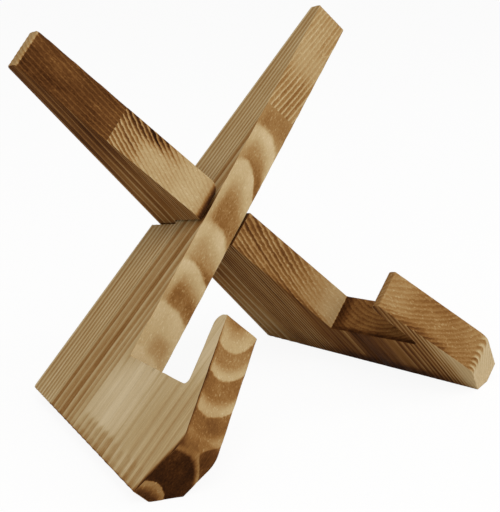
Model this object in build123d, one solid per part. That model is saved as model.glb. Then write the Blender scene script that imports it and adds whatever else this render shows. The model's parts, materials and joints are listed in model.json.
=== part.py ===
from build123d import *
import os
from math import atan, cos, degrees, radians, sin, tan

# Photo album stand: two pine boards that cross in a lap joint and slide apart.
# Each board is glued up from staves whose grain runs along its back edge.
# Sizes are in millimetres and degrees.

# Stock and stance
panel_thickness = 18.0
leg_angle = 45.0  # lean of each board from the table, seen from the front
recline = 12.1  # rise of the crossing line towards the front
crossing_height = 77.2  # crossing point above the table
foot_flat_width = 13.7  # flat sawn on each foot, across the table

# Board outline, from the crossing point: reach runs along the board, depth along the crossing line
tip_reach = 117.0
back_depth = 21.4  # back edge behind the crossing point
back_taper = 12.75  # back edge comes forward towards the tip, and the grain runs along it
rest_depth = 16.4  # edge that the album leans on, in front of the crossing point
rest_taper = 1.9  # that edge falls back towards the tip

# Album channel and the hook in front of it
channel_reach = 78.0  # corner between the leaning edge and the channel floor
channel_width = 50.9
channel_splay = 11.2
left_hook_length = 32.9  # reach of the hook over the channel
right_hook_length = 31.9
hook_splay = 9.3  # hook leans back over the channel
hook_tip_depth = 6.9
left_bend_past_hook = 22.4  # corner between the hook's outer edge and the foot's front, past the hook's root
right_bend_past_hook = 20.2
hook_stock = 16.3  # depth of wood from the hook's root to that corner
front_slope = 29.3  # front edge of the foot, measured from the board's length

# Corner radii
tip_radius = 1.9
channel_radius = 0.8
hook_root_radius = 2.2
hook_inner_radius = 4.1
hook_outer_radius = 0.8
bend_radius = 10.0
left_foot_radius = 0.8  # front corner of the foot
right_foot_radius = 2.5
left_heel_radius = 1.7
right_heel_radius = 3.0

# Glue-up and cross lap
left_back_stave_width = 22.2
right_back_stave_width = 20.0
lap_clearance = 0.9  # between each slot wall and the board in it
lap_past_glue = 1.5  # lap floor behind the right board's glue line
lap_corner_radius = 5.0  # rounded upper corner of the right board's slot

lean = radians(leg_angle)
rise = radians(recline)
slot_width = panel_thickness + 2 * lap_clearance
cutter_size = 4 * (tip_reach + channel_reach + channel_width)


def line_meet(point, angle, other_point, other_angle):
    """Corner where two lines, each a point and a direction in degrees, meet."""
    (x, y), (u, v) = point, other_point
    a, b = radians(angle), radians(other_angle)
    along = ((u - x) * sin(b) - (v - y) * cos(b)) / sin(b - a)
    return (x + along * cos(a), y + along * sin(a))


def step(point, angle, length):
    """Point at a length from another one, in a direction in degrees."""
    return (point[0] + length * cos(radians(angle)), point[1] + length * sin(radians(angle)))


def glue_offset(stave_width):
    """Depth of the glue line at the crossing point."""
    return stave_width / cos(radians(back_taper)) - back_depth


def board_outline(hook_length, bend_past_hook, foot_radius, heel_radius):
    """Outline of a board. Its end is parallel to the line in which the board meets the table."""
    end_angle = 90 + degrees(atan(tan(rise) / sin(lean)))
    lower_face_reach = crossing_height / (sin(lean) * cos(rise)) - panel_thickness / (2 * tan(lean))
    end = (-lower_face_reach - foot_flat_width * cos(lean), 0)
    back = (0, -back_depth)
    rest = (0, rest_depth)
    tip_back = line_meet((tip_reach, 0), 90, back, back_taper)
    tip_front = line_meet((tip_reach, 0), 90, rest, -rest_taper)
    # The tip narrows as it gets longer, so its rounding stays within a third of its width
    tip_rounding = min(tip_radius, (tip_front[1] - tip_back[1]) / 3)
    channel_corner = line_meet((-channel_reach, 0), 90, rest, -rest_taper)
    hook_root = step(channel_corner, 90 + channel_splay, channel_width)
    bend = (hook_root[0] - bend_past_hook, hook_root[1] + hook_stock)
    hook_inner_tip = step(hook_root, -hook_splay, hook_length)
    hook_outer_tip = (hook_inner_tip[0], hook_inner_tip[1] + hook_tip_depth)
    corners = [
        (tip_back, tip_rounding),
        (tip_front, tip_rounding),
        (channel_corner, channel_radius),
        (hook_root, hook_root_radius),
        (hook_inner_tip, hook_inner_radius),
        (hook_outer_tip, hook_outer_radius),
        (bend, bend_radius),
        (line_meet(bend, front_slope, end, end_angle), foot_radius),
        (line_meet(back, back_taper, end, end_angle), heel_radius),
    ]
    points, radii = zip(*corners)
    return make_face(FilletPolyline(*points, radius=radii, close=True))


def board_plane(side):
    """Middle plane of a board: X along the board to its tip, Y along the crossing line to the front."""
    forward = Vector(0, -cos(rise), sin(rise))
    upward = Vector(0, sin(rise), cos(rise))
    along = Vector(-side * cos(lean), 0, 0) + upward * sin(lean)
    return Plane((0, 0, crossing_height), x_dir=along, z_dir=along.cross(forward))


def lap_cutter(plane, floor, way):
    """Slab of the other board with clearance, on one side of the lap floor."""
    slab = Pos(0, floor + way * cutter_size / 2, 0) * Box(cutter_size, cutter_size, slot_width)
    return plane.location * slab


def make_board(plane, hook_length, bend_past_hook, foot_radius, heel_radius):
    """Whole board, with its foot sawn flat where it stands on the table."""
    outline = board_outline(hook_length, bend_past_hook, foot_radius, heel_radius)
    blank = plane.location * extrude(outline, panel_thickness / 2, both=True)
    return split(blank, bisect_by=Plane.XY, keep=Keep.TOP)


def rip_staves(board, plane, stave_width):
    """Back and front parts of a board, on either side of its glue line."""
    slope = radians(back_taper)
    across = plane.x_dir * -sin(slope) + plane.y_dir * cos(slope)
    glue = Plane(plane.origin + plane.y_dir * glue_offset(stave_width), x_dir=plane.z_dir, z_dir=across)
    return split(board, bisect_by=glue, keep=Keep.BOTTOM), split(board, bisect_by=glue, keep=Keep.TOP)


left_plane = board_plane(-1)
right_plane = board_plane(1)
slot_half_reach = slot_width / 2 / sin(2 * lean)
lap_floor = glue_offset(right_back_stave_width) - slot_half_reach * tan(radians(back_taper)) - lap_past_glue

left_blank = make_board(
    left_plane, left_hook_length, left_bend_past_hook, left_foot_radius, left_heel_radius
)
right_blank = make_board(
    right_plane, right_hook_length, right_bend_past_hook, right_foot_radius, right_heel_radius
)
left_board = left_blank - lap_cutter(right_plane, lap_floor, -1)
right_board = right_blank - lap_cutter(left_plane, lap_floor, 1)

left_back, left_front = rip_staves(left_board, left_plane, left_back_stave_width)
right_back, right_front = rip_staves(right_board, right_plane, right_back_stave_width)

# The lap cuts the right board's front stave in two
board_axis = Axis(right_plane.origin, right_plane.x_dir)
right_front_lower, right_front_upper = right_front.solids().sort_by(board_axis)

mouth_middle = (lap_floor + rest_depth) / 2
lap_corner = right_plane.from_local_coords((slot_half_reach, mouth_middle, panel_thickness / 2))
corner_edge = right_front_upper.edges().sort_by_distance(lap_corner)[0]
right_front_upper = right_front_upper.fillet(lap_corner_radius, [corner_edge])

pieces = {
    "left_front_stave": left_front,
    "left_back_stave": left_back,
    "right_front_stave_lower": right_front_lower,
    "right_front_stave_upper": right_front_upper,
    "right_back_stave": right_back,
}

# Middle of the stand's depth on the origin, with the table at zero height
middle = Compound(list(pieces.values())).bounding_box().center().Y
os.makedirs("parts", exist_ok=True)
for name, piece in pieces.items():
    export_step(Pos(0, -middle, 0) * piece, os.path.join("parts", f"{name}.step"))
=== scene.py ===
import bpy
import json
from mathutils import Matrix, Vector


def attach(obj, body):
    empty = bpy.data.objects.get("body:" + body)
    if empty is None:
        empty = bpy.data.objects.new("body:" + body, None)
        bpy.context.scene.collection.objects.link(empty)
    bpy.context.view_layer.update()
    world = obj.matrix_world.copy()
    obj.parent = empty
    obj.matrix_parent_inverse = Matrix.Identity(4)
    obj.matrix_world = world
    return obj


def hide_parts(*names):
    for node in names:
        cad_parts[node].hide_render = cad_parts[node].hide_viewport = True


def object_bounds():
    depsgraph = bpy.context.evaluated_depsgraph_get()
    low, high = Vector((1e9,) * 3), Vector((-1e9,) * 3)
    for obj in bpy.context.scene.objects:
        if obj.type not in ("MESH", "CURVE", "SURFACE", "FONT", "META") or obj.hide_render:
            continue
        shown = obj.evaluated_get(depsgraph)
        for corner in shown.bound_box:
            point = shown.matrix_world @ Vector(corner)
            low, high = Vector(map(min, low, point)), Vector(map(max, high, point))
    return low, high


bl_info = {
    "name": "Photo album stand",
    "version": (1, 0, 0),
    "blender": (4, 5, 0),
    "location": "View3D > Sidebar > Stand",
    "description": "Torched and brushed pine staves for a stand of two crossed boards",
    "category": "Add Mesh",
}

import json
import math
from collections import namedtuple

import bmesh
import bpy
import numpy as np
from mathutils import Matrix, Quaternion, Vector

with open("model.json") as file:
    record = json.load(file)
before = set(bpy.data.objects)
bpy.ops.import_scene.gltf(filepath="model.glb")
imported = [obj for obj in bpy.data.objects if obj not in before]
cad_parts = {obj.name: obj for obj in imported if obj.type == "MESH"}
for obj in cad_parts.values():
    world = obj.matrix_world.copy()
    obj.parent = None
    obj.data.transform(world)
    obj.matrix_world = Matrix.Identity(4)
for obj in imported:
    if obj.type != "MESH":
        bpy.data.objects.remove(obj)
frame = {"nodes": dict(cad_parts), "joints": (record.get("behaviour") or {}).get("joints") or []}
cad_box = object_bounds()

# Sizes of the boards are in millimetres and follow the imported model
mm = 0.001
crossing = Vector((0, 35.418, 77.2))
leg_angle = math.radians(45)
back_depth = 21.4
back_taper = math.radians(12.75)
front_slope = math.radians(29.3)
hook_start = 45  # the hook is in front of this depth
lap_half = 15  # the slot's walls are within this reach of the crossing
drift_start = -84  # along the grain, towards the foot

# Reaches within which vertices are welded, cut or taken to be glued
weld_reach = 0.002
cut_reach = 0.001
glue_reach = 0.02

# Share of a normal that points out of the board, on its broad faces at least and on its arrises between
broad_share = 0.72
arris_shares = (0.2, 0.97)

# Waves that bend the growth rings: height, turn for each millimetre of g, h and w, and start
ring_waves = (
    (1.0, 1 / 41, 0, 1 / 13, 0),
    (0.5, 1 / 17, -1 / 9, 0, 2),
    (0.5, 1 / 60, 1 / 3.3, 1 / 4.1, 0),
)

# Toast, char and reach where no mark lies, and how abruptly a mark's zone ends
plain_scorch = (0.3, 0.3, 0.6)
zone_power = 4

Board = namedtuple("Board", "body side glue_line bend")
left_board = Board("left_board", -1, 22.2, (-110.3, 85.2))
right_board = Board("right_board", 1, 20.0, (-108.1, 85.2))

ScorchAndShade = namedtuple("ScorchAndShade", "face toast char reach zones")

# Growth rings circle the pith, which is a place h, w. Ovals squeeze them, by distance from the pith. Rings
# are radii on the rims, and broad_rings those on the broad faces if they differ. Drift leans the rings over
# near the foot, waver bends them, and relief is how deep brushing goes. Steps are the mesh's cells across,
# along and through the grain.
Stave = namedtuple(
    "Stave",
    "piece node board slot pith ovals rings waver relief steps marks broad_rings drift",
    defaults=(None, 0.0),
)


def scorch(face, toast, char, reach, **zones):
    """One mark on a face: mostly a torched place, and in a few marks painted shade in gaps and corners. It
    says how toasted all of it is (in painted-shade marks, how dark the painted shade is), how charred its
    soft wood is, and the share of each ring that the char reaches over.

    A zone is a middle and a spread, in millimetres: s along the board, h in front of its back edge,
    w above its middle plane, z above the table, n inside the edge of its nose.
    """
    return ScorchAndShade(face, toast, char, reach, zones)


def even_rings(end, *spans):
    """Radii of growth rings, from spans that each have a first radius and a ring width."""
    edges = []
    for (start, width), (stop, _) in zip(spans, (*spans[1:], (end, 0))):
        edges.extend(np.arange(start, stop, width))
    return edges


left_front_stave = Stave(
    piece="left_front_pine_stave",
    node="left_front_stave",
    board=left_board,
    slot="left_front_pine",
    pith=(97.0, 3.5),
    ovals=(
        (0, 0.5), (16, 0.9), (24, 1.3), (40, 0.8), (47, 0.8),
        (53, 1.2), (58, 1.6), (63, 3.2), (67, 3.4), (71, 1.6),
    ),
    rings=(-2.0, 11.0, 16.6, 24.3, 30.7, 35.8, 41.4, 47.3, 53.0, 58.1, 67.1, 71.8, 77.0, 82.0),
    broad_rings=(
        0, 5.5, 11.5, 17.6, 23.6, 29.4, 34.2, 39.1, 45.3,
        49.2, 53.0, 58.6, 64.6, 70.2, 74.6, 79.0, 84.0,
    ),
    drift=0.076,
    waver=0.12,
    relief=0.12,
    steps=(0.7, 3.0, 0.8),
    marks=(
        scorch("upper", 0.21, 0.14, 0.40),
        scorch("upper", 0.19, 0.24, 0.64, h=(46, 14)),
        scorch("upper", 0.19, 0.32, 0.72, h=(30, 11)),
        scorch("upper", 0.22, 0.36, 0.76, h=(36, 3)),
        scorch("upper", 0.02, 0.18, 0.06, s=(-97, 20), h=(70, 19)),
        scorch("upper", 0.05, 0.10, 0.20, s=(-62, 24), h=(112, 16)),
        scorch("upper", 0.13, 0.25, 0.74, z=(9.7, 2.6), h=(90, 36)),
        scorch("upper", 0.20, 0.26, 0.74, z=(6.2, 1.8), h=(88, 40)),
        scorch("upper", 0.64, 0.10, 0.60, z=(5.5, 0.6)),
        # Painted shadow: a dark strip along the lean edge, seen in the gap beside the right board's end at
        # the lap
        scorch("upper", 0.94, 0.00, 0.50, s=(0, 9), h=(37.5, 2.6)),
        scorch("upper", 0.88, 0.04, 0.50, n=(-1, 2.6), h=(112, 34)),
        scorch("lean", 0.14, 0.50, 0.58),
        scorch("lean", 0.50, 0.06, 0.50, s=(54, 8)),
        scorch("lean", 0.14, 0.25, 0.66, s=(37, 10)),
        scorch("lean", 0.16, 0.41, 0.62, s=(10, 19)),
        scorch("lean", 0.16, 0.22, 0.64, s=(-18, 10)),
        scorch("lean", 0.18, 0.42, 0.64, s=(-40, 11)),
        scorch("lean", 0.17, 0.06, 0.50, s=(-66, 15)),
        scorch("lean", 0.40, 0.00, 0.50, s=(-68, 5), w=(-2, 5)),
        scorch("lean", 0.17, 0.12, 0.50, s=(-12, 56), w=(10, 4.5)),
        scorch("hook front", 0.23, 0.33, 0.72),
        scorch("hook front", 0.24, 0.38, 0.67, s=(-60, 9)),
        scorch("hook front", 0.38, 0.28, 0.70, s=(-103, 9)),
        scorch("hook front", 0.70, 0.18, 0.70, s=(-110, 4.5)),
        scorch("hook front", 0.54, 0.36, 0.92, s=(-110, 4), w=(-6, 6)),
        scorch("nose", 0.49, 0.39, 0.92),
        scorch("nose", 0.53, 0.40, 0.90, w=(-8, 6)),
        scorch("nose", 0.72, 0.10, 0.80, s=(-110, 3.0), w=(8, 6)),
        scorch("nose", 0.45, 0.38, 0.84, s=(-132, 4.6), w=(6, 8)),
        scorch("hook inside", 0.10, 0.30, 0.50),
        scorch("hook top", 0.30, 0.25, 0.50),
        scorch("floor", 0.20, 0.35, 0.50),
        scorch("foot", 0.42, 0.35, 0.60),
        scorch("under", 0.16, 0.32, 0.60),
        scorch("under", 0.26, 0.50, 0.70, z=(8, 9)),
        scorch("hook front", 0.80, 0.06, 0.50, s=(-88, 26), w=(9.6, 1.5)),
        scorch("hook front arris", 0.90, 0.00, 0.50, s=(-88, 26), w=(9, 3)),
        scorch("hook front arris", 0.78, 0.06, 0.50, s=(-62, 14), w=(-9, 3)),
        scorch("nose arris", 0.90, 0.00, 0.50, w=(9, 3)),
        scorch("foot arris", 0.80, 0.06, 0.50, w=(9, 3)),
    ),
)

left_back_stave = Stave(
    piece="left_back_pine_stave",
    node="left_back_stave",
    board=left_board,
    slot="left_back_pine",
    pith=(-30.0, 60.0),
    ovals=((0, 1.0),),
    rings=even_rings(100, (50.6, 1.85)),
    waver=0.15,
    relief=0.12,
    steps=(0.6, 3.0, 0.5),
    marks=(
        scorch("upper", 0.15, 0.27, 0.66),
        scorch("upper", 0.12, 0.26, 0.64, z=(5, 7)),
        scorch("lean", 0.23, 0.18, 0.72),
        scorch("lean", 0.24, 0.10, 0.72, s=(88, 8)),
        scorch("lean", 0.20, 0.33, 0.74, s=(66, 15)),
        scorch("tip", 0.24, 0.20, 0.70),
        scorch("foot", 0.42, 0.30, 0.60),
        scorch("under", 0.25, 0.36, 0.80),
        scorch("back", 0.24, 0.34, 0.80),
        scorch("slot", 0.50, 0.10, 0.50),
        scorch("back arris", 0.80, 0.06, 0.60, w=(9, 3)),
    ),
)

right_front_lower_stave = Stave(
    piece="right_front_pine_stave_lower",
    node="right_front_stave_lower",
    board=right_board,
    slot="right_front_pine",
    pith=(80.0, 28.0),
    ovals=((0, 1.0),),
    rings=even_rings(80, (10, 2.2), (36, 1.7), (44, 1.45)),
    waver=0.25,
    relief=0.04,
    steps=(0.4, 3.0, 0.4),
    marks=(
        scorch("lean", 0.42, 0.20, 0.66),
        scorch("lean", 0.42, 0.30, 0.66, s=(-18, 26)),
        scorch("lean", 0.40, 0.06, 0.60, s=(-72, 19)),
        scorch("lean", 0.32, 0.04, 0.60, s=(-73, 8)),
        scorch("lean", 0.36, 0.24, 0.66, s=(-10, 22), w=(-9, 5)),
        scorch("lean", 0.47, 0.30, 0.66, s=(-16, 9)),
        scorch("lean", 0.58, 0.18, 0.66, s=(-50, 24), w=(-9.6, 2.6)),
        scorch("under", 0.34, 0.44, 0.60),
        scorch("under", 0.70, 0.08, 0.60, h=(55, 9)),
        scorch("under", 0.85, 0.02, 0.60, h=(74, 9)),
        scorch("under", 0.48, 0.00, 0.60, h=(64.2, 0.9)),
        scorch("under", 0.74, 0.04, 0.60, h=(84, 4)),
        scorch("under", 0.60, 0.06, 0.60, h=(90, 3.5)),
        scorch("under", 0.50, 0.26, 0.66, h=(102, 9)),
        scorch("under", 0.16, 0.10, 0.50, h=(125, 9)),
        scorch("under", 0.96, 0.00, 0.70, h=(76, 32), z=(0, 5)),
        scorch("floor", 0.65, 0.12, 0.50),
        # Painted shade: a dark band in the floor's corner with the lean face
        scorch("floor", 0.88, 0.05, 0.50, h=(54, 8)),
        scorch("floor", 0.90, 0.04, 0.60, w=(-9.5, 2.5)),
        scorch("hook front", 0.51, 0.09, 0.62),
        scorch("hook front", 0.39, 0.08, 0.60, s=(-58, 11)),
        scorch("hook front", 0.68, 0.18, 0.60, s=(-88, 26), w=(-10, 3.8)),
        scorch("hook front", 0.49, 0.08, 0.60, s=(-101, 8)),
        scorch("hook front", 0.14, 0.50, 0.60, s=(-109.2, 3.0)),
        scorch("nose", 0.06, 0.12, 0.50),
        scorch("nose", 0.10, 0.46, 0.60, s=(-108.5, 2.8)),
        scorch("hook inside", 0.40, 0.30, 0.60),
        scorch("hook top", 0.46, 0.08, 0.60),
        scorch("foot", 0.50, 0.30, 0.60),
        scorch("upper", 0.34, 0.30, 0.62),
        # Slot walls dark partly as charred end grain and partly as painted shade of the gap in the lap
        scorch("slot", 0.82, 0.00, 0.50),
        scorch("floor arris", 0.90, 0.00, 0.50, w=(-9, 3)),
    ),
)

right_front_upper_stave = Stave(
    piece="right_front_pine_stave_upper",
    node="right_front_stave_upper",
    board=right_board,
    slot="right_front_pine",
    pith=(80.0, 30.0),
    ovals=((0, 1.0),),
    rings=even_rings(90, (40, 1.05)),
    waver=0.20,
    relief=0.04,
    steps=(0.4, 3.0, 0.4),
    marks=(
        scorch("lean", 0.26, 0.14, 0.38),
        scorch("lean", 0.20, 0.10, 0.36, s=(22, 9)),
        scorch("lean", 0.28, 0.42, 0.64, s=(63, 12)),
        scorch("lean", 0.44, 0.54, 0.70, s=(54, 17), w=(9, 6)),
        scorch("lean", 0.28, 0.06, 0.50, s=(12, 5)),
        # Painted shadow: a black band at this stave's end, for the shade in the gap at the lap
        scorch("lean", 1.00, 0.00, 0.50, s=(9.4, 3.3)),
        scorch("under", 0.38, 0.42, 0.60),
        scorch("upper", 0.20, 0.24, 0.60),
        # Slot walls dark partly as charred end grain and partly as painted shade of the gap in the lap
        scorch("slot", 0.92, 0.00, 0.50),
    ),
)

right_back_stave = Stave(
    piece="right_back_pine_stave",
    node="right_back_stave",
    board=right_board,
    slot="right_back_pine",
    pith=(32.0, 40.0),
    ovals=((0, 1.0),),
    rings=even_rings(75, (20, 1.9)),
    waver=0.20,
    relief=0.12,
    steps=(0.6, 3.0, 0.5),
    marks=(
        scorch("lean", 0.73, 0.11, 0.80),
        scorch("lean", 0.77, 0.09, 0.80, s=(102, 12)),
        scorch("lean", 0.65, 0.14, 0.80, s=(64, 11)),
        scorch("under", 0.37, 0.28, 0.80),
        scorch("under", 0.53, 0.29, 0.82, s=(84, 36)),
        scorch("under", 0.66, 0.16, 0.84, s=(112, 16)),
        scorch("under", 0.29, 0.22, 0.72, z=(12, 24)),
        scorch("tip", 0.34, 0.10, 0.60),
        scorch("foot", 0.50, 0.30, 0.70),
        scorch("upper", 0.46, 0.34, 0.80),
        scorch("back", 0.48, 0.34, 0.80),
        # Slot walls dark partly as charred end grain and partly as painted shade of the gap in the lap
        scorch("slot", 0.92, 0.00, 0.50),
    ),
)


# Boards and their grain


def board_axes(board):
    """Unit vectors of a board: along it to the tip, forward along the lap, and out of its upper face."""
    forward = Vector(frame["joints"][0]["axis"]).normalized()
    upward = Vector((1, 0, 0)).cross(forward) * -1
    along = Vector((-board.side * math.cos(leg_angle), 0, 0)) + upward * math.sin(leg_angle)
    above = Vector((board.side * math.sin(leg_angle), 0, 0)) + upward * math.cos(leg_angle)
    return along, forward, above


def world_to_board(board):
    """Matrix from metres in the frame to millimetres s, t, w of a board, from the crossing point."""
    rows = [list(axis / mm) + [-axis.dot(crossing)] for axis in board_axes(board)]
    return Matrix(rows + [[0, 0, 0, 1]])


def board_to_grain():
    """Matrix from s, t, w of a board to g along its grain, h in front of its back edge, and w."""
    c, s = math.cos(back_taper), math.sin(back_taper)
    return Matrix(((c, s, 0, back_depth * s), (-s, c, 0, back_depth * c), (0, 0, 1, 0), (0, 0, 0, 1)))


def ring_count(stave, places, broad):
    """Growth rings between the pith and each place: whole rings, and a share of the next."""
    g, h, w = places.T
    across, up = stave.pith
    drift = np.where(broad, 0, stave.drift * np.maximum(0, drift_start - g))
    away = np.abs(h - across - drift)
    oval = np.interp(away, *zip(*stave.ovals))
    radius = np.sqrt(away ** 2 + oval * (w - up) ** 2)
    for height, turn_g, turn_h, turn_w, start in ring_waves:
        radius += stave.waver * height * np.sin(g * turn_g + h * turn_h + w * turn_w + start)
    on_rims = np.interp(radius, stave.rings, range(len(stave.rings)))
    broad_rings = stave.broad_rings or stave.rings
    on_broad = np.interp(radius, broad_rings, range(len(broad_rings)))
    return np.where(broad, on_broad, on_rims)


# Stave meshes


def open_stave(node, to_grain):
    """The CAD stave as a bmesh in grain millimetres, with one face for each flat."""
    flat_angle = math.radians(0.5)
    bm = bmesh.new()
    bm.from_mesh(frame["nodes"][node].data)
    bm.transform(to_grain)
    if to_grain.determinant() < 0:
        bmesh.ops.reverse_faces(bm, faces=bm.faces)
    bmesh.ops.remove_doubles(bm, verts=bm.verts, dist=weld_reach)
    bmesh.ops.dissolve_limit(bm, angle_limit=flat_angle, verts=bm.verts, edges=bm.edges)
    return bm


def on_glue_line(verts, glue_line):
    """Whether all of a face's corners lie in the glue joint."""
    return all(abs(v.co.y - glue_line) < glue_reach for v in verts)


def round_arrises(bm, glue_line, radius):
    """Rounds the outer corners, as brushing does, and leaves the glue joint sharp."""
    sharp = math.radians(25)
    arrises = [
        e for e in bm.edges
        if e.is_convex and e.calc_face_angle(0) > sharp
        and not any(on_glue_line(f.verts, glue_line) for f in e.link_faces)
    ]
    bmesh.ops.bevel(
        bm, geom=arrises, offset=radius, offset_type="OFFSET", segments=3, profile=0.5,
        affect="EDGES", clamp_overlap=True,
    )


def slice_stave(bm, steps):
    """Cuts the faces into small cells, so that the brushed rings can stand out of them."""
    foot_cell, foot_cells_end = 0.8, -88
    across, along, through = steps
    for axis, step in ((1, across), (2, through), (0, along)):
        places = [v.co[axis] for v in bm.verts]
        normal = [float(axis == k) for k in range(3)]
        place = math.floor(min(places) / step) * step + step / 2
        while place < max(places):
            cut = [place * n for n in normal]
            geom = bm.verts[:] + bm.edges[:] + bm.faces[:]
            bmesh.ops.bisect_plane(bm, geom=geom, dist=cut_reach, plane_co=cut, plane_no=normal)
            near_foot = axis == 0 and place < foot_cells_end
            place += foot_cell if near_foot else step


def mesh_arrays(mesh):
    """Places of a mesh's vertices, and each face's normal and area."""
    places = np.zeros(len(mesh.vertices) * 3)
    mesh.vertices.foreach_get("co", places)
    normals = np.zeros(len(mesh.polygons) * 3)
    mesh.polygons.foreach_get("normal", normals)
    areas = np.zeros(len(mesh.polygons))
    mesh.polygons.foreach_get("area", areas)
    return places.reshape(-1, 3), normals.reshape(-1, 3), areas


def open_normals(mesh, glue_line):
    """Normals of the vertices from the faces in the open, so that glued faces stay where they are."""
    shortest = 1e-9
    places, normals, areas = mesh_arrays(mesh)
    total = np.zeros_like(places)
    for face, normal, area in zip(mesh.polygons, normals, areas):
        corners = list(face.vertices)
        if np.abs(places[corners, 1] - glue_line).max() > glue_reach:
            total[corners] += normal * area
    length = np.linalg.norm(total, axis=1, keepdims=True)
    return places, total / np.maximum(length, shortest)


def faces_of_board(places, normals, board):
    """Which of a board's named faces each vertex is on, and its s, h, w, z and n.

    A rim's turn is the way it faces, in degrees: 0 to the tip, 90 to the front, 180 to the foot.
    """
    grain_to_board = np.array(board_to_grain().inverted())
    s, t, w = (places @ grain_to_board[:3, :3].T + grain_to_board[:3, 3]).T
    ns, nt, nw = (normals @ grain_to_board[:3, :3].T).T
    to_world = np.array(world_to_board(board).inverted()) / mm
    z = np.stack([s, t, w], 1) @ to_world[2, :3] + to_world[2, 3]
    turn = np.degrees(np.arctan2(nt, ns))

    def facing(low, high):
        return (turn >= low) & (turn < high)

    def within(low, high):
        return (s > low) & (s < high)

    in_hook = t > hook_start
    in_lap = within(-lap_half, lap_half)
    to_tip = facing(-45, 45)
    to_foot = np.abs(turn) >= 140
    rims = {
        "lean": facing(60, 120) & ~in_hook,
        "hook front": facing(45, 97) & in_hook,
        "nose": facing(97, 150) & in_hook,
        "hook top": to_tip & in_hook & (s > -70),
        "hook inside": facing(-140, -45) & in_hook,
        "floor": to_tip & within(-95, -60),
        "tip": to_tip & (s > 90),
        "foot": to_foot & ~in_lap,
        "slot": (to_tip | (np.abs(turn) >= 135)) & in_lap,
        "back": facing(-120, -45) & ~in_hook,
    }
    share = np.abs(nw)
    least, most = arris_shares
    faces = {"upper": nw >= broad_share, "under": nw <= -broad_share}
    for name, rim in rims.items():
        faces[name] = rim & (share < broad_share)
        faces[name + " arris"] = rim & (share > least) & (share < most)
    bend_s, bend_t = board.bend
    n = (s - bend_s) * math.sin(front_slope) - (t - bend_t) * math.cos(front_slope)
    return faces, {"s": s, "h": places[:, 1], "w": w, "z": z, "n": n}


def paint_scorch_and_shade(stave, faces, zones):
    """Toast, in places painted shade, char and the char's reach at each vertex."""
    paint = np.tile(plain_scorch, (len(zones["s"]), 1))
    for mark in stave.marks:
        weight = faces[mark.face].astype(float)
        for name, (middle, spread) in mark.zones.items():
            weight = weight * np.exp(-((zones[name] - middle) / spread) ** zone_power)
        paint += weight[:, None] * ((mark.toast, mark.char, mark.reach) - paint)
    return paint


def brushed_depth(stave, rings):
    """How far brushing has worn each vertex down: most in a ring's soft wood, least at its hard edge."""
    hard_start, hardening, hard_edge = 0.35, 0.55, 0.08
    phase = rings % 1
    hard = np.clip((phase - hard_start) / hardening, 0, 1)
    fade = np.clip((1 - phase) / hard_edge, 0, 1)
    return stave.relief * (1 - hard * hard * (3 - 2 * hard) * fade)


def put_attribute(mesh, name, values):
    """Stores a number or a vector at each vertex for the finish to read."""
    kind, key = ("FLOAT_VECTOR", "vector") if values.ndim == 2 else ("FLOAT", "value")
    attribute = mesh.attributes.new(name, kind, "POINT")
    attribute.data.foreach_set(key, values.astype(np.float32).ravel())


def make_stave(stave, sizes, material):
    """One brushed stave in place of its CAD node."""
    smooth_angle = math.radians(50)
    end_grain_gain = 4
    board = stave.board
    to_grain = board_to_grain() @ world_to_board(board)
    bm = open_stave(stave.node, to_grain)
    round_arrises(bm, board.glue_line, sizes.arris_radius / mm)
    slice_stave(bm, stave.steps)
    mesh = bpy.data.meshes.new(stave.piece)
    bm.to_mesh(mesh)
    bm.free()
    places, normals = open_normals(mesh, board.glue_line)
    broad = np.abs(normals[:, 2]) > broad_share
    rings = ring_count(stave, places, broad)
    put_attribute(mesh, "grain", places)
    put_attribute(mesh, "rings", rings)
    put_attribute(mesh, "scorch", paint_scorch_and_shade(stave, *faces_of_board(places, normals, board)))
    put_attribute(mesh, "cut", np.minimum(1, end_grain_gain * np.abs(normals[:, 0])))
    worn = places - normals * brushed_depth(stave, rings)[:, None]
    mesh.vertices.foreach_set("co", worn.astype(np.float32).ravel())
    mesh.transform(to_grain.inverted())
    if to_grain.determinant() < 0:
        mesh.flip_normals()
    mesh.shade_smooth()
    mesh.set_sharp_from_angle(angle=smooth_angle)
    mesh.materials.append(material)
    piece = bpy.data.objects.new(stave.piece, mesh)
    bpy.context.scene.collection.objects.link(piece)
    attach(piece, board.body)
    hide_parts(stave.node)


# Shader maths


class Value:
    """A number that changes over a surface. An expression on it adds Math nodes."""

    def __init__(self, finish, socket):
        self.finish = finish
        self.socket = socket

    def math(self, operation, *others):
        return self.finish.math(operation, self, *others)

    def __add__(self, other):
        return self.math("ADD", other)

    def __radd__(self, other):
        return self.finish.math("ADD", other, self)

    def __sub__(self, other):
        return self.math("SUBTRACT", other)

    def __rsub__(self, other):
        return self.finish.math("SUBTRACT", other, self)

    def __mul__(self, other):
        return self.math("MULTIPLY", other)

    def __rmul__(self, other):
        return self.finish.math("MULTIPLY", other, self)


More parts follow.
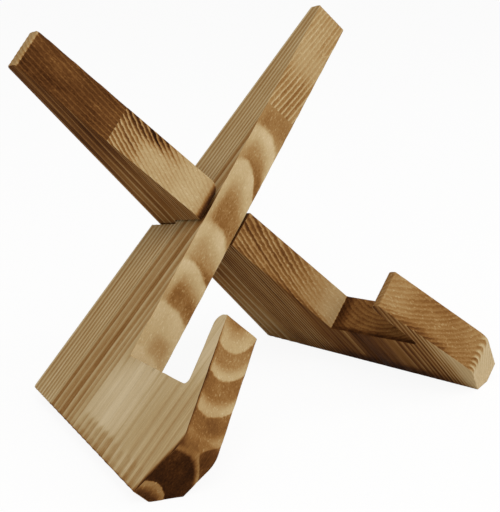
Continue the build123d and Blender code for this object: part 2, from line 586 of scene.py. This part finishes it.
class Finish:
    """The nodes of a material or of the world."""

    def __init__(self, owner):
        owner.use_nodes = True
        self.tree = owner.node_tree
        self.tree.nodes.clear()

    def node(self, kind, settings, inputs):
        """A node of any type: its settings first, then the values or links of its sockets."""
        node = self.tree.nodes.new(kind)
        for name, value in settings.items():
            if name == "stops":
                set_stops(node.color_ramp, value)
            else:
                setattr(node, name, value)
        for key, value in inputs.items():
            socket = value.socket if isinstance(value, Value) else value
            if isinstance(socket, bpy.types.NodeSocket):
                self.tree.links.new(socket, node.inputs[key])
            else:
                node.inputs[key].default_value = socket
        return node

    def value(self, kind, settings, inputs, output):
        """One output of a new node, to calculate with."""
        return Value(self, self.node(kind, settings, inputs).outputs[output])

    def math(self, operation, *terms):
        return self.value("ShaderNodeMath", {"operation": operation}, dict(enumerate(terms)), 0)

    def smooth(self, value, low, high):
        """A smooth step from zero at low to one at high."""
        inputs = {"Value": value, "From Min": low, "From Max": high}
        return self.value("ShaderNodeMapRange", {"interpolation_type": "SMOOTHSTEP"}, inputs, "Result")

    def attribute(self, name, output):
        return self.value("ShaderNodeAttribute", {"attribute_name": name}, {}, output)

    def parts(self, vector):
        """The three numbers of a vector."""
        split = self.node("ShaderNodeSeparateXYZ", {}, {"Vector": vector})
        return [Value(self, output) for output in split.outputs]

    def noise(self, vector, lengths, detail, roughness):
        """A noise whose patches have the given lengths along, across and through the grain."""
        scale = [1 / length for length in lengths]
        settings = {"operation": "MULTIPLY"}
        place = self.node("ShaderNodeVectorMath", settings, {0: vector, 1: scale}).outputs[0]
        inputs = {"Vector": place, "Scale": 1.0, "Detail": detail, "Roughness": roughness}
        return self.value("ShaderNodeTexNoise", {}, inputs, "Fac")

    def seen(self):
        """One for what the camera sees, straight or in a reflection, and zero for the light on the stand."""
        path = self.node("ShaderNodeLightPath", {}, {})
        kinds = ("Camera", "Glossy", "Transmission")
        camera, glossy, transmission = [Value(self, path.outputs[f"Is {kind} Ray"]) for kind in kinds]
        return (camera + glossy + transmission).math("MINIMUM", 1)


def set_stops(ramp, stops):
    """Gives a colour ramp its stops, each a position and a colour."""
    while len(ramp.elements) < len(stops):
        ramp.elements.new(1.0)
    for element, (position, colour) in zip(ramp.elements, stops):
        element.position = position
        element.color = colour


def pine_finish(slot, fray, finish):
    """Torched and brushed pine: soft wood burnt brown between hard rings that stay pale."""
    material = bpy.data.materials.new(slot)
    pine = Finish(material)
    grain = pine.attribute("grain", "Vector")
    # The first channel is toast, and in a few marks painted shade
    toast, char, reach = pine.parts(pine.attribute("scorch", "Vector"))
    cut = pine.attribute("cut", "Fac")

    fibre = pine.noise(grain, lengths=(16, 0.35, 0.35), detail=3, roughness=0.6) - 0.5
    streak = pine.noise(grain, lengths=(70, 0.7, 0.7), detail=2, roughness=0.5) - 0.5
    cloud = pine.noise(grain, lengths=(22, 8, 8), detail=3, roughness=0.55) - 0.5
    speckle = pine.noise(grain, lengths=(1.3, 0.8, 0.8), detail=2, roughness=0.6) - 0.5
    tear = pine.noise(grain, lengths=(2.6, 2.0, 2.0), detail=2, roughness=0.6) - 0.5
    fleck = pine.noise(grain, lengths=(3.0, 0.7, 0.7), detail=1, roughness=0.5)
    fleck = pine.smooth(fleck, low=0.60, high=0.72)

    # Each ring is soft from its start to the char's reach, and a whim of its own sets how dark it burns
    cloud_bend, whim_shuffle, faint_share = 0.12, 7.3, 0.3
    side = 1 - cut
    turns = pine.attribute("rings", "Fac") + tear * cut * (2 * fray) + cloud * cloud_bend
    phase = turns.math("FRACT")
    ring = {"W": turns.math("FLOOR")}
    whim = pine.value("ShaderNodeTexWhiteNoise", {"noise_dimensions": "1D"}, ring, 0)
    start_width = 0.31 - 0.3 * reach
    end_width = reach.math("MINIMUM", 1 - reach) * 0.7 + 0.02
    ending = pine.smooth(phase, reach - end_width, reach + end_width)
    soft = pine.smooth(phase, 0, start_width) * (1 - ending)
    hard = 1 - soft
    burnt = char * soft * (0.8 + 0.4 * whim)
    faint = char * hard * side * (whim * whim_shuffle).math("FRACT") * faint_share

    # How dark the wood is, on the ramp from bare to black, and how far each noise shifts that
    bare = 1 - toast
    cloud_shift = 0.08 + 0.42 * char + 0.3 * cut * toast
    fibre_shift = 0.2 + 0.1 * side
    streak_shift = 0.08 + 0.45 * side * (toast + burnt)
    speckle_shift = 0.05 + 0.6 * burnt * bare * bare + 0.12 * cut * toast
    fleck_shift = 0.6 * cut
    depth = toast + burnt + faint + cloud * cloud_shift + fibre * fibre_shift
    depth = depth + streak * streak_shift + speckle * speckle_shift
    depth = depth - fleck * fleck_shift * depth * (1 - depth)

    burns = (
        (0.00, finish.cream),
        (0.22, finish.tan),
        (0.46, finish.golden),
        (0.60, finish.brown),
        (0.78, finish.chocolate),
        (0.92, finish.char),
        (1.00, finish.black),
    )
    stops = [(place, (*colour, 1)) for place, colour in burns]
    colour = pine.node("ShaderNodeValToRGB", {"stops": stops}, {"Fac": depth}).outputs["Color"]
    hard_polish, fibre_fuzz = 0.12, 0.2
    fuzz = {"Strength": 0.5, "Distance": 0.00025, "Height": fibre + 0.5 * speckle}
    look = {
        "Base Color": colour,
        "Roughness": finish.roughness - hard_polish * hard + fibre_fuzz * fibre,
        "Specular IOR Level": finish.sheen,
        "Normal": pine.node("ShaderNodeBump", {}, fuzz).outputs["Normal"],
    }
    surface = pine.node("ShaderNodeBsdfPrincipled", {}, look).outputs[0]
    pine.node("ShaderNodeOutputMaterial", {}, {"Surface": surface})
    return material


# Stage

Lamp = namedtuple("Lamp", "name place size")
key_lamp = Lamp("key_lamp", (-0.5, -0.9, 1.3), 1.2)
fill_lamp = Lamp("fill_lamp", (1.2, -0.7, 0.8), 1.0)


def floor_finish(colour, whiteness):
    """Pale floor that reads as a white background and keeps the stand's shadow."""
    material = bpy.data.materials.new("floor")
    floor = Finish(material)
    pale = floor.node("ShaderNodeBsdfDiffuse", {}, {"Color": (*colour, 1)}).outputs[0]
    white = floor.node("ShaderNodeEmission", {}, {"Color": (1, 1, 1, 1), "Strength": 1.0}).outputs[0]
    share = floor.seen() * whiteness
    mixed = floor.node("ShaderNodeMixShader", {}, {0: share, 1: pale, 2: white}).outputs[0]
    floor.node("ShaderNodeOutputMaterial", {}, {"Surface": mixed})
    return material


def make_floor(stage):
    """The floor, which isn't part of the stand."""
    mesh = bpy.data.meshes.new("floor")
    bm = bmesh.new()
    bmesh.ops.create_grid(bm, x_segments=1, y_segments=1, size=stage.floor_size / 2)
    bm.to_mesh(mesh)
    bm.free()
    mesh.materials.append(floor_finish(stage.floor_colour, stage.floor_whiteness))
    floor = bpy.data.objects.new("floor", mesh)
    bpy.context.scene.collection.objects.link(floor)


def aim(thing, target):
    """Turns a camera or lamp towards a point."""
    way = Vector(target) - thing.location
    thing.rotation_mode = "QUATERNION"
    thing.rotation_quaternion = way.to_track_quat("-Z", "Y")


def make_lamp(lamp, power, target):
    """A soft round lamp, turned towards the stand."""
    light = bpy.data.lights.new(lamp.name, "AREA")
    light.shape = "DISK"
    light.size = lamp.size
    light.energy = power
    thing = bpy.data.objects.new(lamp.name, light)
    thing.location = lamp.place
    aim(thing, target)
    bpy.context.scene.collection.objects.link(thing)


def make_world(strength):
    """Even white surroundings, which the camera and reflections see as white."""
    world = bpy.data.worlds.new("studio")
    studio = Finish(world)
    level = strength + studio.seen() * (1 - strength)
    inputs = {"Color": (1, 1, 1, 1), "Strength": level}
    background = studio.node("ShaderNodeBackground", {}, inputs).outputs[0]
    studio.node("ShaderNodeOutputWorld", {}, {"Surface": background})
    bpy.context.scene.world = world


def make_camera(stage):
    """The camera at the photo's viewing angle."""
    lens = bpy.data.cameras.new("camera")
    lens.lens = stage.lens
    lens.sensor_width = 36
    lens.clip_start = 0.01
    camera = bpy.data.objects.new("camera", lens)
    camera.location = stage.camera_place
    aim(camera, stage.camera_target)
    camera.rotation_quaternion @= Quaternion((0, 0, 1), stage.camera_roll)
    bpy.context.scene.collection.objects.link(camera)
    bpy.context.scene.camera = camera


# Settings


def colour_setting(name, description, red, green, blue):
    """A colour given in a screen's levels from 0 to 255, held in linear light."""

    def linear(level):
        level = level / 255
        return level / 12.92 if level <= 0.04045 else ((level + 0.055) / 1.055) ** 2.4

    default = tuple(linear(level) for level in (red, green, blue))
    return bpy.props.FloatVectorProperty(
        name=name, description=description, subtype="COLOR", size=3, min=0, max=1, default=default
    )


class StandFinish(bpy.types.PropertyGroup):
    """Colours of torched pine, from bare wood to charcoal."""

    cream: colour_setting("Cream", "Bare hard wood", 206, 186, 150)
    tan: colour_setting("Tan", "Lightly toasted wood", 180, 155, 112)
    golden: colour_setting("Golden", "Toasted wood", 154, 118, 72)
    brown: colour_setting("Brown", "Burnt soft wood", 132, 91, 47)
    chocolate: colour_setting("Chocolate", "Deeply burnt wood", 97, 60, 28)
    char: colour_setting("Char", "Charred wood", 62, 34, 13)
    black: colour_setting("Black", "Charcoal", 42, 22, 9)
    roughness: bpy.props.FloatProperty(
        name="Roughness",
        description="Roughness of the brushed surface",
        subtype="FACTOR",
        default=0.8,
        min=0,
        max=1,
    )
    sheen: bpy.props.FloatProperty(
        name="Sheen",
        description="Strength of its reflections",
        subtype="FACTOR",
        default=0.02,
        min=0,
        max=1,
    )


class StandSizes(bpy.types.PropertyGroup):
    """Sizes that brushing leaves."""

    arris_radius: bpy.props.FloatProperty(
        name="Arris radius",
        description="Rounding of the boards' outer corners",
        unit="LENGTH",
        default=0.00035,
    )


class StandStage(bpy.types.PropertyGroup):
    """Camera, light and floor."""

    camera_place: bpy.props.FloatVectorProperty(
        name="Camera",
        description="Where the camera stands",
        subtype="TRANSLATION",
        unit="LENGTH",
        default=(-0.34049, -0.42939, 0.22300),
    )
    camera_target: bpy.props.FloatVectorProperty(
        name="Target",
        description="What the camera looks at",
        subtype="TRANSLATION",
        unit="LENGTH",
        default=(0.01288, 0.01891, 0.05986),
    )
    camera_roll: bpy.props.FloatProperty(
        name="Roll",
        description="Tilt of the camera about its view",
        unit="ROTATION",
        default=math.radians(-0.93),
    )
    lens: bpy.props.FloatProperty(
        name="Lens",
        description="Focal length",
        unit="CAMERA",
        default=91.95,
    )
    floor_size: bpy.props.FloatProperty(
        name="Floor",
        description="Side of the floor",
        unit="LENGTH",
        default=12.0,
    )
    floor_colour: colour_setting("Floor colour", "Pale floor", 245, 244, 242)
    floor_whiteness: bpy.props.FloatProperty(
        name="Floor whiteness",
        description="Share of plain white in the floor",
        subtype="FACTOR",
        default=0.92,
    )
    key_power: bpy.props.FloatProperty(
        name="Key",
        description="Power of the main lamp",
        unit="POWER",
        default=14.0,
    )
    fill_power: bpy.props.FloatProperty(
        name="Fill",
        description="Power of the side lamp",
        unit="POWER",
        default=6.0,
    )
    surroundings: bpy.props.FloatProperty(
        name="Surroundings",
        description="Strength of the even light from all round",
        default=0.5,
        min=0,
    )


# Operators


class StaveMaker:
    """What the operators that make staves share."""

    staves = ()
    fray = 0.0

    def execute(self, context):
        material = pine_finish(self.staves[0].slot, self.fray, context.scene.stand_finish)
        for stave in self.staves:
            make_stave(stave, context.scene.stand_sizes, material)
        return {"FINISHED"}


class STAND_OT_left_front(StaveMaker, bpy.types.Operator):
    """Make the left board's front stave, with its hook"""

    bl_idname = "stand.left_front"
    bl_label = "Left front stave"
    staves = (left_front_stave,)
    fray = 0.04


class STAND_OT_left_back(StaveMaker, bpy.types.Operator):
    """Make the left board's back stave"""

    bl_idname = "stand.left_back"
    bl_label = "Left back stave"
    staves = (left_back_stave,)
    fray = 0.15


class STAND_OT_right_front(StaveMaker, bpy.types.Operator):
    """Make the two lengths of the right board's front stave, below and above the lap"""

    bl_idname = "stand.right_front"
    bl_label = "Right front staves"
    staves = (right_front_lower_stave, right_front_upper_stave)
    fray = 0.35


class STAND_OT_right_back(StaveMaker, bpy.types.Operator):
    """Make the right board's back stave"""

    bl_idname = "stand.right_back"
    bl_label = "Right back stave"
    staves = (right_back_stave,)
    fray = 0.2


class STAND_OT_stage(bpy.types.Operator):
    """Set up the floor, the lamps and the camera"""

    bl_idname = "stand.stage"
    bl_label = "Stage"

    def execute(self, context):
        stage = context.scene.stand_stage
        middle = (cad_box[0] + cad_box[1]) / 2
        make_floor(stage)
        make_world(stage.surroundings)
        make_lamp(key_lamp, stage.key_power, middle)
        make_lamp(fill_lamp, stage.fill_power, middle)
        make_camera(stage)
        context.scene.view_settings.view_transform = "Standard"
        return {"FINISHED"}


class STAND_PT_pieces(bpy.types.Panel):
    """Staves and stage of the stand"""

    bl_label = "Photo album stand"
    bl_space_type = "VIEW_3D"
    bl_region_type = "UI"
    bl_category = "Stand"

    def draw(self, context):
        for operator in operators:
            self.layout.operator(operator.bl_idname)
        for group in (context.scene.stand_finish, context.scene.stand_sizes, context.scene.stand_stage):
            box = self.layout.box()
            for name in group.__annotations__:
                box.prop(group, name)


settings = {"stand_finish": StandFinish, "stand_sizes": StandSizes, "stand_stage": StandStage}
operators = (
    STAND_OT_left_front, STAND_OT_left_back, STAND_OT_right_front, STAND_OT_right_back, STAND_OT_stage,
)


def register():
    for cls in (*settings.values(), *operators, STAND_PT_pieces):
        bpy.utils.register_class(cls)
    for name, group in settings.items():
        setattr(bpy.types.Scene, name, bpy.props.PointerProperty(type=group))


def unregister():
    for name in settings:
        delattr(bpy.types.Scene, name)
    for cls in reversed((*settings.values(), *operators, STAND_PT_pieces)):
        bpy.utils.unregister_class(cls)


def main():
    register()
    bpy.ops.stand.left_front()
    bpy.ops.stand.left_back()
    bpy.ops.stand.right_front()
    bpy.ops.stand.right_back()
    bpy.ops.stand.stage()


if __name__ == "__main__":
    main()
